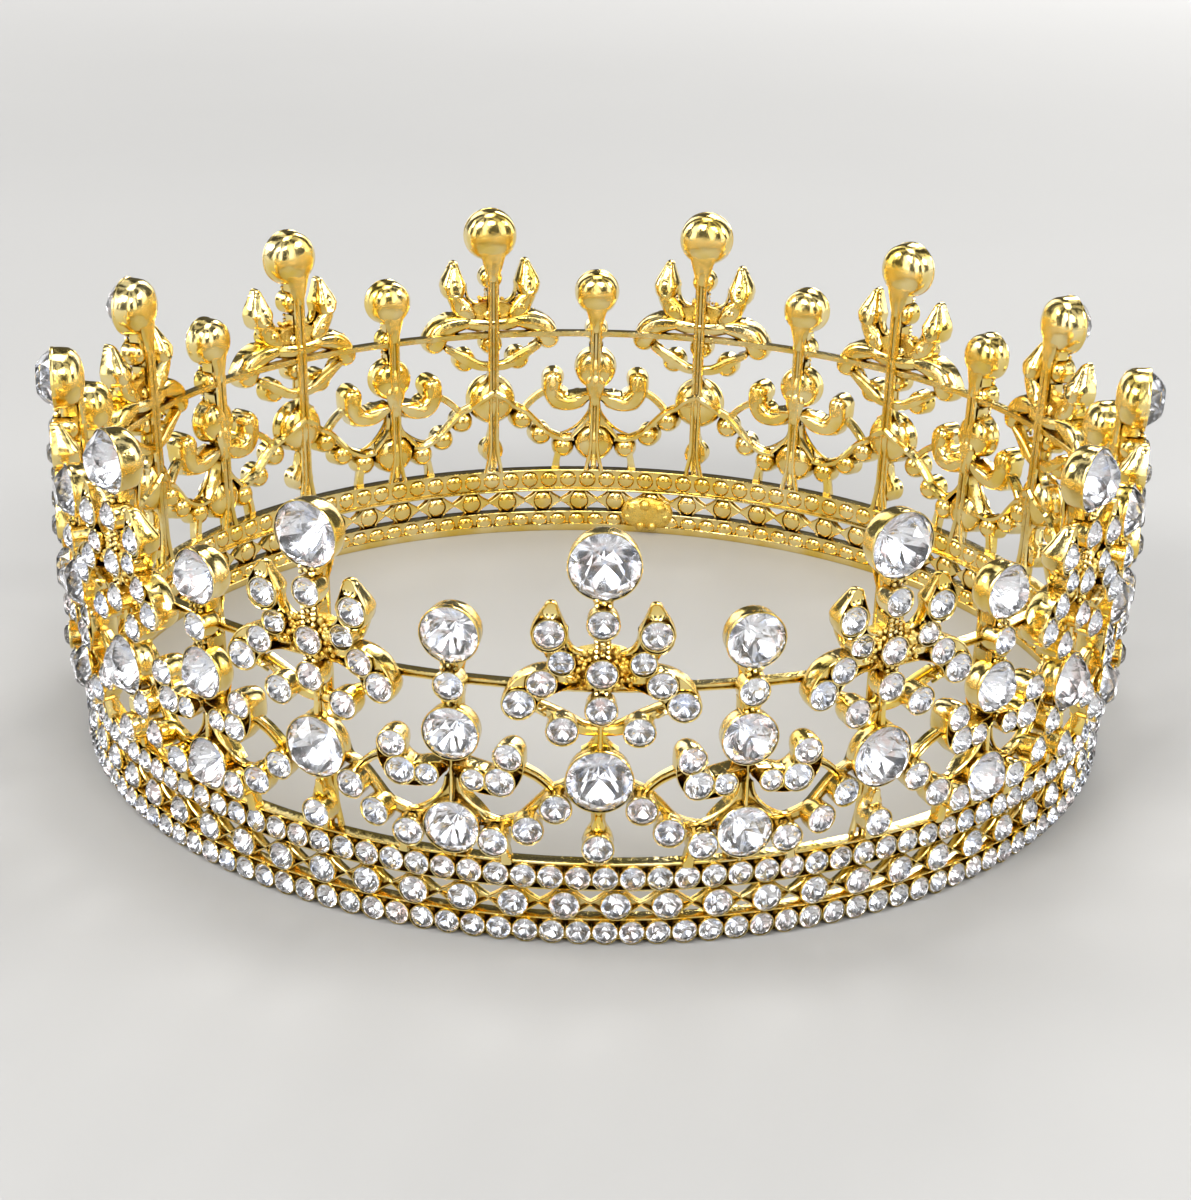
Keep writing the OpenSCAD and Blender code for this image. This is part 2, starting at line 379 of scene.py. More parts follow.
    def add(self, other: "Form", places: Iterable[Matrix]) -> "Form":
        """Adds a copy of another form at each place.

        Args:
            other: The form to copy.
            places: A matrix for each copy.

        Returns:
            This form.
        """
        stamp = bpy.data.meshes.new("stamp")
        other.bm.to_mesh(stamp)
        for place in places:
            count = len(self.bm.verts)
            self.bm.from_mesh(stamp)
            self.bm.verts.ensure_lookup_table()
            bmesh.ops.transform(self.bm, matrix=place, verts=self.bm.verts[count:])
        bpy.data.meshes.remove(stamp)
        return self

    def finished(self, name: str, finishes: Sequence[bpy.types.Material],
                 slot: str = "gold_plate", crease: Optional[float] = 35,
                 replaced: Sequence[str] = ("frame",)) -> None:
        """Turns the form into a piece of the crown, and reports it.

        Args:
            name: The piece's name.
            finishes: A material for each material index.
            slot: Not used.
            crease: The angle in degrees past which an edge is sharp, or None for facets.
            replaced: The nodes that the piece stands for.
        """
        bmesh.ops.recalc_face_normals(self.bm, faces=self.bm.faces)
        mesh = bpy.data.meshes.new(name)
        self.bm.to_mesh(mesh)
        self.bm.free()
        mesh.transform(Matrix.Scale(MM, 4))
        if crease is None:
            mesh.shade_flat()
        else:
            mesh.shade_smooth()
            mesh.set_sharp_from_angle(angle=math.radians(crease))
        for finish in finishes:
            mesh.materials.append(finish)
        piece = bpy.data.objects.new(name, mesh)
        bpy.context.scene.collection.objects.link(piece)
        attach(piece, "root")
        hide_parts(*replaced)
        mesh.calc_loop_triangles()
        log.info("%s: %d triangles", name, len(mesh.loop_triangles))


def add_node(tree: bpy.types.NodeTree, kind: str, inputs: Optional[dict] = None,
             **settings: object) -> bpy.types.Node:
    """Adds a node with its settings and links.

    Args:
        tree: The node tree.
        kind: The node's type.
        inputs: For an input's name or number, a value or the socket that feeds it.
        settings: The node's own properties.

    Returns:
        The node.
    """
    node = tree.nodes.new(kind)
    for name, value in settings.items():
        setattr(node, name, value)
    for key, value in (inputs or {}).items():
        if isinstance(value, bpy.types.NodeSocket):
            tree.links.new(value, node.inputs[key])
        else:
            node.inputs[key].default_value = value
    return node


def new_material(name: str) -> tuple[bpy.types.Material, bpy.types.NodeTree,
                                     bpy.types.NodeSocket, bpy.types.NodeSocket]:
    """Starts a node material.

    Args:
        name: The material's name.

    Returns:
        The material, its tree, the place on the object in metres, and the socket that takes
        the finished surface.
    """
    material = bpy.data.materials.new(name)
    material.use_nodes = True
    tree = material.node_tree
    tree.nodes.clear()
    output = add_node(tree, "ShaderNodeOutputMaterial")
    place = add_node(tree, "ShaderNodeTexCoord").outputs["Object"]
    return material, tree, place, output.inputs["Surface"]


@dataclass(frozen=True)
class GoldPlate:
    """Bright gold plating on cast zinc alloy.

    The casting's skin ripples a little under the plating, so highlights break up and run
    along edges, and the colour turns from straw on thin coats to amber on thick ones. In
    crevices the colour is darkened to a dull brown: this is painted shade.
    """

    name: str = "gold_plate"
    thin: str = "#FCE8A8"
    thick: str = "#F2D268"
    # Painted shade: the dull brown that crevices are darkened to
    painted_shade: str = "#8E712A"
    # Where the patches' noise means a thick coat and where a thin one
    tone_at: Point = (0.35, 0.65)
    # How far off other metal makes a crevice with painted shade, and how open the spots are
    # where that painted shade is darkest and where it fades out
    reach_mm: float = 1.4
    open_at: Point = (0.15, 0.7)
    roughness: float = 0.15
    # The roughness of the smoothest and the dullest grains, as shares
    haze_share: Point = (0.7, 1.5)
    patch_mm: float = 5.0
    ripple_mm: float = 1.3
    ripple_depth_mm: float = 0.08
    grain_mm: float = 0.28
    grain_depth_mm: float = 0.012

    def make(self) -> bpy.types.Material:
        """Builds the material.

        Returns:
            The material.
        """
        material, tree, place, surface = new_material(self.name)
        patch = add_node(tree, "ShaderNodeTexNoise", {
            "Vector": place, "Scale": 1 / (self.patch_mm * MM), "Detail": 3.0})
        tone = add_node(tree, "ShaderNodeValToRGB", {"Fac": patch.outputs["Fac"]})
        for stop, at, colour in zip(tone.color_ramp.elements, self.tone_at,
                                    (self.thick, self.thin)):
            stop.position, stop.color = at, srgb(colour)
        # Painted shade: ambient occlusion mixes the colour towards the painted shade colour
        # where other metal is near
        open_share = add_node(tree, "ShaderNodeAmbientOcclusion", {
            "Distance": self.reach_mm * MM}, samples=3)
        hollow = add_node(tree, "ShaderNodeMapRange", {
            "Value": open_share.outputs["AO"], "From Min": self.open_at[0],
            "From Max": self.open_at[1]})
        coat_and_painted_shade = add_node(tree, "ShaderNodeMix", {
            "Factor": hollow.outputs["Result"], "A": srgb(self.painted_shade),
            "B": tone.outputs["Color"]}, data_type="RGBA")
        ripple = add_node(tree, "ShaderNodeTexNoise", {
            "Vector": place, "Scale": 1 / (self.ripple_mm * MM), "Detail": 2.0})
        grain = add_node(tree, "ShaderNodeTexNoise", {
            "Vector": place, "Scale": 1 / (self.grain_mm * MM), "Detail": 4.0,
            "Roughness": 0.6})
        wave = add_node(tree, "ShaderNodeBump", {
            "Height": ripple.outputs["Fac"], "Distance": self.ripple_depth_mm * MM})
        pits = add_node(tree, "ShaderNodeBump", {
            "Height": grain.outputs["Fac"], "Distance": self.grain_depth_mm * MM,
            "Normal": wave.outputs["Normal"]})
        haze = add_node(tree, "ShaderNodeMapRange", {
            "Value": grain.outputs["Fac"], "From Min": 0.35, "From Max": 0.75,
            "To Min": self.roughness * self.haze_share[0],
            "To Max": self.roughness * self.haze_share[1]})
        metal = add_node(tree, "ShaderNodeBsdfPrincipled", {
            "Base Color": coat_and_painted_shade.outputs["Result"], "Metallic": 1.0,
            "Roughness": haze.outputs["Result"], "Normal": pits.outputs["Normal"]})
        tree.links.new(metal.outputs["BSDF"], surface)
        return material


@dataclass(frozen=True)
class GrainedGoldPlate(GoldPlate):
    """The same plating on the grained webs and the solder.

    Their sandy skin scatters the light, so they look dull beside the bright cups. Their
    amber comes partly from the thick coat's colour and partly from painted shade between
    the grains.
    """

    name: str = "gold_plate_grained"
    thin: str = "#FBE58C"
    thick: str = "#F0C654"
    # Painted shade: the amber that the hollows between the grains are darkened to
    painted_shade: str = "#D9A23C"
    reach_mm: float = 0.7
    roughness: float = 0.32
    ripple_mm: float = 0.5
    ripple_depth_mm: float = 0.16
    grain_mm: float = 0.2
    grain_depth_mm: float = 0.03


@dataclass(frozen=True)
class RhinestoneGlass:
    """Clear pressed and polished glass, the part of a rhinestone that shows in front.

    It bends the light on to the foil behind, which gives the white and grey facets.
    """

    name: str = "rhinestone_glass"
    tint: str = "#FBFCFF"
    ior: float = 1.56
    smear_mm: float = 2.2
    # The roughness where a finger has smeared it
    smeared: float = 0.02

    def make(self) -> bpy.types.Material:
        """Builds the material.

        Returns:
            The material.
        """
        material, tree, place, surface = new_material(self.name)
        smear = add_node(tree, "ShaderNodeTexNoise", {
            "Vector": place, "Scale": 1 / (self.smear_mm * MM), "Detail": 2.0})
        haze = add_node(tree, "ShaderNodeMapRange", {
            "Value": smear.outputs["Fac"], "From Min": 0.4, "From Max": 0.7,
            "To Min": 0.0, "To Max": self.smeared})
        glass = add_node(tree, "ShaderNodeBsdfPrincipled", {
            "Base Color": srgb(self.tint), "Roughness": haze.outputs["Result"],
            "IOR": self.ior, "Transmission Weight": 1.0})
        tree.links.new(glass.outputs["BSDF"], surface)
        return material


@dataclass(frozen=True)
class MirrorFoil:
    """Silver foil behind a rhinestone, under lacquer.

    It throws the light back through the glass, with a little rose and blue in it.
    """

    name: str = "mirror_foil"
    silver: str = "#FAFAFB"
    rose: str = "#FAEAE5"
    blue: str = "#E6ECFA"
    # Where the patches' noise turns rose, silver from and to, and blue
    tone_at: tuple[float, float, float, float] = (0.3, 0.45, 0.58, 0.7)
    patch_mm: float = 1.6
    roughness: float = 0.15

    def make(self) -> bpy.types.Material:
        """Builds the material.

        Returns:
            The material.
        """
        material, tree, place, surface = new_material(self.name)
        patch = add_node(tree, "ShaderNodeTexNoise", {
            "Vector": place, "Scale": 1 / (self.patch_mm * MM), "Detail": 1.0})
        tone = add_node(tree, "ShaderNodeValToRGB", {"Fac": patch.outputs["Fac"]})
        stops = tone.color_ramp.elements
        stops[0].position, stops[0].color = self.tone_at[0], srgb(self.rose)
        stops[1].position, stops[1].color = self.tone_at[3], srgb(self.blue)
        for at in self.tone_at[1:3]:
            stops.new(at).color = srgb(self.silver)
        foil = add_node(tree, "ShaderNodeBsdfPrincipled", {
            "Base Color": tone.outputs["Color"], "Metallic": 1.0,
            "Roughness": self.roughness})
        tree.links.new(foil.outputs["BSDF"], surface)
        return material


@dataclass(frozen=True)
class FloorPaper:
    """Matt pale paper that the crown stands on, with the faintest mottle.

    It is paler far out, where the lamps don't reach, so that it looks even.
    """

    name: str = "pale_paper"
    light: str = "#ACABA9"
    dark: str = "#A7A6A4"
    far: str = "#E4E3E1"
    # How far from the crown the paper starts and ends to turn paler
    fade_m: Point = (0.35, 1.1)
    mottles_per_m: float = 9.0
    roughness: float = 0.75

    def make(self) -> bpy.types.Material:
        """Builds the material.

        Returns:
            The material.
        """
        material, tree, place, surface = new_material(self.name)
        mottle = add_node(tree, "ShaderNodeTexNoise", {
            "Vector": place, "Scale": self.mottles_per_m})
        tone = add_node(tree, "ShaderNodeValToRGB", {"Fac": mottle.outputs["Fac"]})
        for stop, colour in zip(tone.color_ramp.elements, (self.dark, self.light)):
            stop.color = srgb(colour)
        away = add_node(tree, "ShaderNodeVectorMath", {0: place}, operation="LENGTH")
        share = add_node(tree, "ShaderNodeMapRange", {
            "Value": away.outputs["Value"], "From Min": self.fade_m[0],
            "From Max": self.fade_m[1]}, interpolation_type="SMOOTHSTEP")
        spread = add_node(tree, "ShaderNodeMix", {
            "Factor": share.outputs["Result"], "A": tone.outputs["Color"],
            "B": srgb(self.far)}, data_type="RGBA")
        paper = add_node(tree, "ShaderNodeBsdfPrincipled", {
            "Base Color": spread.outputs["Result"], "Roughness": self.roughness})
        tree.links.new(paper.outputs["BSDF"], surface)
        return material


@dataclass
class Finishes:
    """All the materials of the crown."""

    gold: bpy.types.Material
    grained: bpy.types.Material
    stone: list[bpy.types.Material]

    @classmethod
    def make(cls) -> "Finishes":
        """Builds every material once."""
        return cls(gold=GoldPlate().make(), grained=GrainedGoldPlate().make(),
                   stone=[RhinestoneGlass().make(), MirrorFoil().make()])


@dataclass(frozen=True)
class Brilliant:
    """The cut of a rhinestone of radius 1: table, star facets, kites, girdle and point."""

    # Radius of the table's corners and of the star facets' points
    table: float = 0.56
    star: float = 0.76
    crown_h: float = 0.46
    girdle_h: float = 0.05
    back_h: float = 0.72
    # Radius of the ring of corners behind the girdle, and its share of the back's depth
    back_ring: Point = (0.5, 0.52)
    facets: int = 8

    def form(self) -> Form:
        """Builds a stone whose girdle's front edge lies at height 0.

        Returns:
            The stone, with foil as the second material of its back.
        """
        form = Form()
        half = math.pi / self.facets
        star_z = self.crown_h * (1 - self.star * math.cos(half)) / (1 - self.table)
        behind, share = self.back_ring
        rings = ((1, self.table, self.crown_h, 0.0), (1, self.star, star_z, half),
                 (2, 1.0, 0.0, 0.0), (2, 1.0, -self.girdle_h, 0.0),
                 (1, behind, -self.girdle_h - self.back_h * share, 0.0))
        for times, radius, z, turn in rings:
            place = Matrix.Translation((0, 0, z)) @ Matrix.Rotation(turn, 4, "Z")
            bmesh.ops.create_circle(form.bm, segments=times * self.facets, radius=radius,
                                    matrix=place)
        form.bm.verts.new((0, 0, -self.girdle_h - self.back_h))
        bmesh.ops.delete(form.bm, geom=form.bm.edges[:], context="EDGES_FACES")
        bmesh.ops.convex_hull(form.bm, input=form.bm.verts[:])
        bmesh.ops.dissolve_limit(form.bm, angle_limit=math.radians(1), verts=form.bm.verts[:],
                                 edges=form.bm.edges[:])
        for face in form.bm.faces:
            face.normal_update()
            # The girdle stays glass, and only what faces backwards is foiled
            face.material_index = 1 if face.normal.z < -0.1 else 0
        return form


def cup_form(radius: float, back: float, seat: float, rim: float, steps: int) -> Form:
    """Builds a setting with a rounded back and a thin rim round its stone.

    Args:
        radius: The stone's radius.
        back: Depth of the cup's rounded back.
        seat: Depth of the stone's girdle.
        rim: How much wider than its stone the cup is.
        steps: The number of sides.

    Returns:
        The cup, about its own axis.
    """
    out = radius + rim
    tall = seat + 0.16 - back
    # Shares of the radius and of the height, from the middle of the back outwards
    bowl = ((0, 0), (0.34, 0.025), (0.62, 0.1), (0.83, 0.24), (0.94, 0.42), (0.97, 0.66))
    lip = [(0.985 * out, seat - 0.3), (out, seat - 0.22), (out, seat + 0.06),
           (out - 0.07, seat + 0.15), (out - 0.15, seat + 0.14), (radius + 0.05, seat + 0.02)]
    inside = [(radius + 0.04, seat - 0.35), (0.72 * radius, seat - 0.3 * radius),
              (0, seat - 0.82 * radius)]
    return Form().turned([(share * out, back + rise * tall) for share, rise in bowl]
                         + lip + inside, steps)


@dataclass(frozen=True)
class Setting:
    """How the stones of a kind are set in their motif's plane."""

    # Depth of the cup's rounded back and of the stone's girdle
    back: float = 0.3
    girdle: float = GIRDLE_D
    # How much wider than the CAD's stone the cup and the stone are
    rim: float = 0.24
    more: float = 0.0
    # The most that a stone tips over, in degrees
    tip: float = 4.0
    sides: int = 20
    cut: Brilliant = Brilliant()


SMALL_SET = Setting()
# Large stones have a higher crown and a smaller table
LARGE_SET = Setting(back=-0.35, girdle=3.22, rim=0.28, more=0.1, tip=1.5, sides=40,
                    cut=Brilliant(table=0.5, star=0.73, crown_h=0.55))
TOP_SET = replace(LARGE_SET, back=-0.9)
SMALL = 1.75


@dataclass(frozen=True)
class Row:
    """A row of the band's stones, the first of which stands some degrees from the front."""

    name: str
    count: int
    z: float
    stone_r: float
    first: float


@dataclass
class Band:
    """The crown's band: three rows of set stones on a pierced strip."""

    finishes: Finishes
    lower: Row = Row("lower", 139, 1.66, 1.52, 0.9)
    middle: Row = Row("middle", 72, 5.25, 1.82, 1.9)
    upper: Row = Row("upper", 136, 9.0, 1.55, 0.8)
    # Radius of the cups' backs and of the stones' girdles
    back_r: float = 69.55
    girdle_r: float = 71.55
    cup_rim: float = 0.13
    cup_sides: int = 14
    sides: int = 208
    # Bottom, top and depth of each lip over the foot
    lips: tuple[Stone, ...] = ((3.22, 3.5, 1.9), (7.12, 7.38, 1.7), (10.6, 10.9, 1.9))
    # Bottom and top of the thin walls behind the outer rows
    walls: tuple[Point, ...] = ((1.1, 3.3), (7.3, 10.7))
    # A star point's end, how far it runs inwards and widens from there, and its hollow
    star_tip: Point = (3.1, 0.1)
    star_run: Point = (2.15, 1.62)
    star_hollow: float = 0.28

    def places(self, row: Row) -> list[Matrix]:
        """Gives the places of a row's stones.

        Args:
            row: The row.

        Returns:
            A matrix for each stone, with Z outwards and its origin on the cups' backs.
        """
        start = math.radians(row.first)
        return [Matrix.Rotation(start + i * math.tau / row.count, 4, "Z")
                @ Matrix.Translation((0, -self.back_r, row.z))
                @ Matrix.Rotation(math.pi / 2, 4, "X") for i in range(row.count)]

    def set_row(self, row: Row) -> None:
        """Builds a row's cups and stones.

        Args:
            row: The row.
        """
        seat = self.girdle_r - self.back_r
        cup = cup_form(row.stone_r, 0.0, seat, self.cup_rim, self.cup_sides)
        cups = Form().add(cup, self.places(row))
        cups.finished(f"{row.name}_row_cups", [self.finishes.gold], crease=40)
        rng = random.Random(row.name)
        turns = [sway(rng, SMALL_SET.tip) for _ in range(row.count)]
        stones = Form().add(SMALL_SET.cut.form(), [
            place @ Matrix.Translation((0, 0, seat)) @ turn @ Matrix.Scale(row.stone_r, 4)
            for place, turn in zip(self.places(row), turns)])
        stones.finished(f"{row.name}_row_stones", self.finishes.stone, "rhinestone", None,
                        [f"band_stones_{row.name}"])

    def star(self) -> Form:
        """Builds a star plate's two side points, which end at their stone's cup.

        Returns:
            The plate with a ridge along each hollow edge.
        """
        cup, steps = self.middle.stone_r - 0.25, 5
        (tip_x, tip_y), (run, rise) = self.star_tip, self.star_run
        edge: list[Point] = []
        for k in range(steps + 1):
            t = k / steps
            hollow = 1 - self.star_hollow * t * (1 - t)
            edge.append(((tip_x - run * t) * hollow, (tip_y + rise * t) * hollow))
        first = math.atan2(edge[-1][1], edge[-1][0])
        arc = [(cup * math.cos(first * k / 4), cup * math.sin(first * k / 4))
               for k in range(3, -4, -1)]
        form = Form()
        form.plate(edge + arc + [(x, -y) for x, y in edge[::-1]], 0.25, 1.15, 0.08)
        for side in (-1, 1):
            form.bar([(x + 0.02, side * y, z, 0.17, 0.24) for (x, y), z in
                      zip(edge[::2] + [edge[-1]], (1.3, 1.45, 1.5, 1.4))], 2)
        form.mirrored()
        return form

    def strip(self) -> Form:
        """Builds the foot, the lips and the thin walls.

        Returns:
            The strip, about the crown's axis.
        """
        r = BAND_R
        strip = Form().turned([
            (r, 0.05), (r + 0.1, 0), (r + 1.0, 0), (r + 1.1, 0.1), (r + 1.1, 0.2),
            (r + 0.75, 0.32), (r + 0.6, 1.1), (r + 0.5, 1.2), (r + 0.08, 1.2), (r, 1.1)],
            self.sides, closed=True)
        for low, high, depth in self.lips:
            strip.turned([(r + 0.05, low), (r + depth, low), (r + depth + 0.05, low + 0.08),
                          (r + depth + 0.05, high - 0.06), (r + depth - 0.04, high),
                          (r + 0.1, high), (r, high - 0.08)], self.sides, closed=True)
        for low, high in self.walls:
            strip.turned([(r + 0.66, low), (r + 0.76, low), (r + 0.76, high),
                          (r + 0.66, high)], self.sides, closed=True)
        return strip

    def build(self) -> None:
        """Builds the strip, the star plates and the rows."""
        self.strip().finished("band_strip", [self.finishes.gold])
        plates = Form().add(self.star(), self.places(self.middle))
        plates.finished("band_star_plates", [self.finishes.gold], crease=30)
        for row in (self.lower, self.middle, self.upper):
            self.set_row(row)


@dataclass
class WireStrip:
    """The flat strip that rings the crown behind the arms, with a groove in its front."""

    finishes: Finishes
    z: float = 34.2
    height: float = 0.9
    depth: float = 1.4
    # How far out from the motifs' plane its inside lies
    clear: float = 0.15
    soft: float = 0.08
    # Half the groove's width at its mouth and floor, and its depth
    groove: Stone = (0.24, 0.08, 0.35)
    sides: int = 156

    def build(self) -> None:
        """Builds the strip."""
        r = PLANE_R + self.z * math.sin(LEAN) + self.clear
        low, high, front = self.z - self.height / 2, self.z + self.height / 2, r + self.depth
        soft, (mouth, floor, sunk) = self.soft, self.groove
        profile = [(r, low + soft), (r + soft, low), (front - soft, low), (front, low + soft),
                   (front, self.z - mouth), (front - sunk, self.z - floor),
                   (front - sunk, self.z + floor), (front, self.z + mouth),
                   (front, high - soft), (front - soft, high), (r + soft, high),
                   (r, high - soft)]
        Form().turned(profile, self.sides, closed=True).finished(
            "wire_strip", [self.finishes.gold], crease=30)


@dataclass(frozen=True)
class StoneSet:
    """Stones of a motif that make one piece, each as across, up and radius."""

    name: str
    stones: tuple[Stone, ...]
    setting: Setting
    nodes: tuple[str, ...] = ()


@dataclass
class Motif:
    """What the tall and the short motif share: cups, stones, stem and links.

    The metal of one motif grows in its form, first the right side and then the middle.
    """

    finishes: Finishes
    name: str = ""
    # Where the kind's first motif stands, in pitches from the front
    first: float = 0.0
    # Height of the ends of the stem's ribs
    stem_top: float = 0.0
    # Bottom and top of each stretch of the stem's front between large cups
    stretches: tuple[Point, ...] = ()
    # Height and half width of each link between two stones
    links: tuple[Point, ...] = ()
    form: Form = field(default_factory=Form)

    def sets(self) -> list[StoneSet]:
        """The motif's stones, piece by piece, in the order in which they are built."""
        raise NotImplementedError

    def add_side(self) -> None:
        """Adds the metal of the motif's right side."""
        raise NotImplementedError

    def add_middle(self) -> None:
        """Adds the metal on the motif's middle line."""
        raise NotImplementedError

    def build_webs(self, places: Sequence[Matrix]) -> None:
        """Builds the kind's grained webs, if it has any."""

    def add_stem(self) -> None:
        """Adds the upright stem: two ribs behind that part at the foot, and a front bar."""
        # How far from the middle a rib runs, by its height over the foot
        rib = ((1.3, 0.1), (0.85, 2.2), (0.53, 4.5), (0.52, 9.0), (0.54, 17.0),
               (0.56, self.stem_top - FOOT_Y))
        for side in (-1, 1):
            self.form.bar([(side * x, FOOT_Y + y, 0.0, 0.38, 0.5) for x, y in rib], 3)
        half = 0.5
        self.form.plate(block(half, FOOT_Y + 1, self.stem_top), -0.15, 0.2, 0.05)
        for low, high in self.stretches:
            self.form.plate(block(half, low, high), 0.15, 1.4, 0.2)
            self.form.bar([(0, y, z, 0.34, 0.4) for y, z in (
                (low + 0.2, 1.6), ((low + high) / 2, 1.7), (high - 0.1, 1.6))], 2)

    def add_neck(self, stone: Stone, drop: float) -> None:
        """Adds the taper that carries a large cup's back down into the stem.

        Args:
            stone: The large stone.
            drop: How far below the stone's centre the taper ends.
        """
        _, y, r = stone
        wide = r * 0.52
        self.form.hull([(0, y - r * 0.65, wide), (0, y - r * 0.85, wide * 0.92),
                        (0, y - (r + drop) / 2, wide * 0.66), (0, y - drop, 0.95)],
                       ((-0.45, 0.5), (-0.3, 0.8), (-0.05, 0.98), (0.1, 0.9)), cap=6)
        self.form.bar([(0, y - r * 0.85, 0.8, r * 0.36, 0.9),
                       (0, y - r - 0.4, 0.8, r * 0.3, 0.9),
                       (0, y - (r + drop) / 2 - 0.2, 0.8, r * 0.24, 0.8),
                       (0, y - drop, 0.7, 0.7, 0.5)], 3)

    def add_links(self) -> None:
        """Adds the little claws that grip two stones where they meet."""
        rng = random.Random(f"{self.name} claws")
        for y, half in self.links:
            self.form.plate(block(half, y - 0.7, y + 0.7), 0.4, 2.7, 0.2)
            for side in (-1, 1):
                for lift in (-0.35, 0.35):
                    size = rng.uniform(0.3, 0.4)
                    self.form.nugget((side * half * 0.7, y + lift, 3.3), size, 1.1)
            self.form.nugget((0, y, 3.35), 0.36, 0.9)

    def cups(self) -> Form:
        """Builds a cup for each stone of one motif.

        Returns:
            The cups in the motif's plane.
        """
        form = Form()
        for part in self.sets():
            how = part.setting
            for x, y, r in part.stones:
                cup = cup_form(r + how.more, how.back, how.girdle, how.rim - how.more,
                               how.sides)
                form.add(cup, [Matrix.Translation((x, y, 0))])
        return form

    def stones(self, part: StoneSet, places: Sequence[Matrix]) -> Form:
        """Lays a stone in each cup of every motif of the kind.

        Args:
            part: The stones of one motif.
            places: The motifs' places.

        Returns:
            The stones as one form.
        """
        rng = random.Random(self.name)
        form, how = Form(), part.setting
        cut = how.cut.form()
        for place in places:
            for x, y, r in part.stones:
                form.add(cut, [place @ Matrix.Translation((x, y, how.girdle))
                               @ sway(rng, how.tip) @ Matrix.Scale(r + how.more, 4)])
        return form

    def build(self) -> None:
        """Builds all the motifs of the kind."""
        places = [on_wall((i + self.first) * PITCH) for i in range(MOTIFS)]
        gold = [self.finishes.gold]
        self.add_side()
        self.form.mirrored()
        self.add_middle()
        Form().add(self.form, places).finished(f"{self.name}_motif_metal", gold)
        self.build_webs(places)
        Form().add(self.cups(), places).finished(f"{self.name}_motif_cups", gold)
        for part in self.sets():
            self.stones(part, places).finished(
                part.name, self.finishes.stone, "rhinestone", None, part.nodes)


